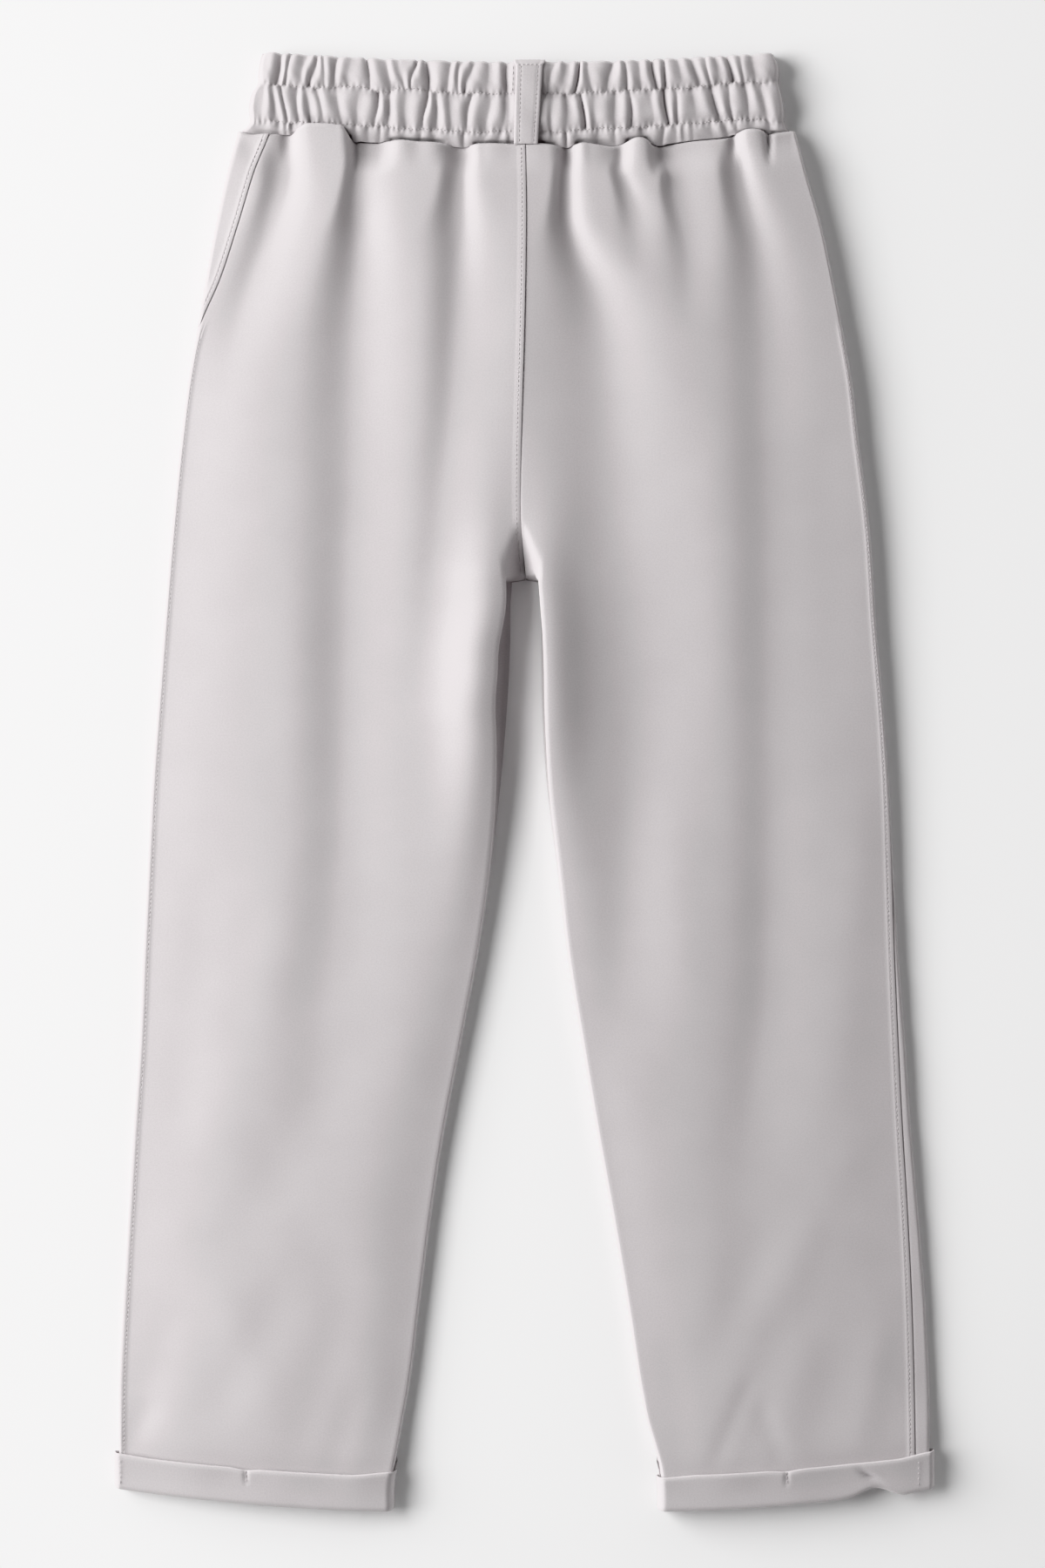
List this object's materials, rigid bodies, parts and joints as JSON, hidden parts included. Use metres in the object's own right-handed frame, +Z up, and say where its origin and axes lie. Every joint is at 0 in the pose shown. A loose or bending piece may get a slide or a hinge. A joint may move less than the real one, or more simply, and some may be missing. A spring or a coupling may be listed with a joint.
{
  "type": "pull-on knit trousers laid flat",
  "caption": "Wide-legged pull-on knit trousers laid flat on their front, with a gathered elastic waistband, a back belt loop, slanted side pockets and turned-up hems.",
  "frame": {"origin": "under the middle of the garment, on the surface that it lies on", "axes": "+Y towards the waist, +X towards the wearer's right leg, which is the right-hand side seen from above, and +Z up from the surface to the back of the trousers"},
  "size_m": [0.5536, 0.9784, 0.0206],
  "materials": {
    "knit": "smooth double-knit jersey in light warm grey with a soft matt sheen",
    "waistband_knit": "the same double-knit jersey, gathered over elastic",
    "trim_knit": "the same double-knit jersey, folded and pressed"
  },
  "bodies": {
    "root": {"back_panel_left": "knit", "back_panel_right": "knit", "front_panel_left": "knit", "front_panel_right": "knit", "pocket_facing_left": "knit", "pocket_facing_right": "knit", "waistband_back": "waistband_knit", "waistband_front": "waistband_knit", "belt_loop_back": "trim_knit", "turn_up_left": "trim_knit", "turn_up_right": "trim_knit"}
  },
  "joints": []
}
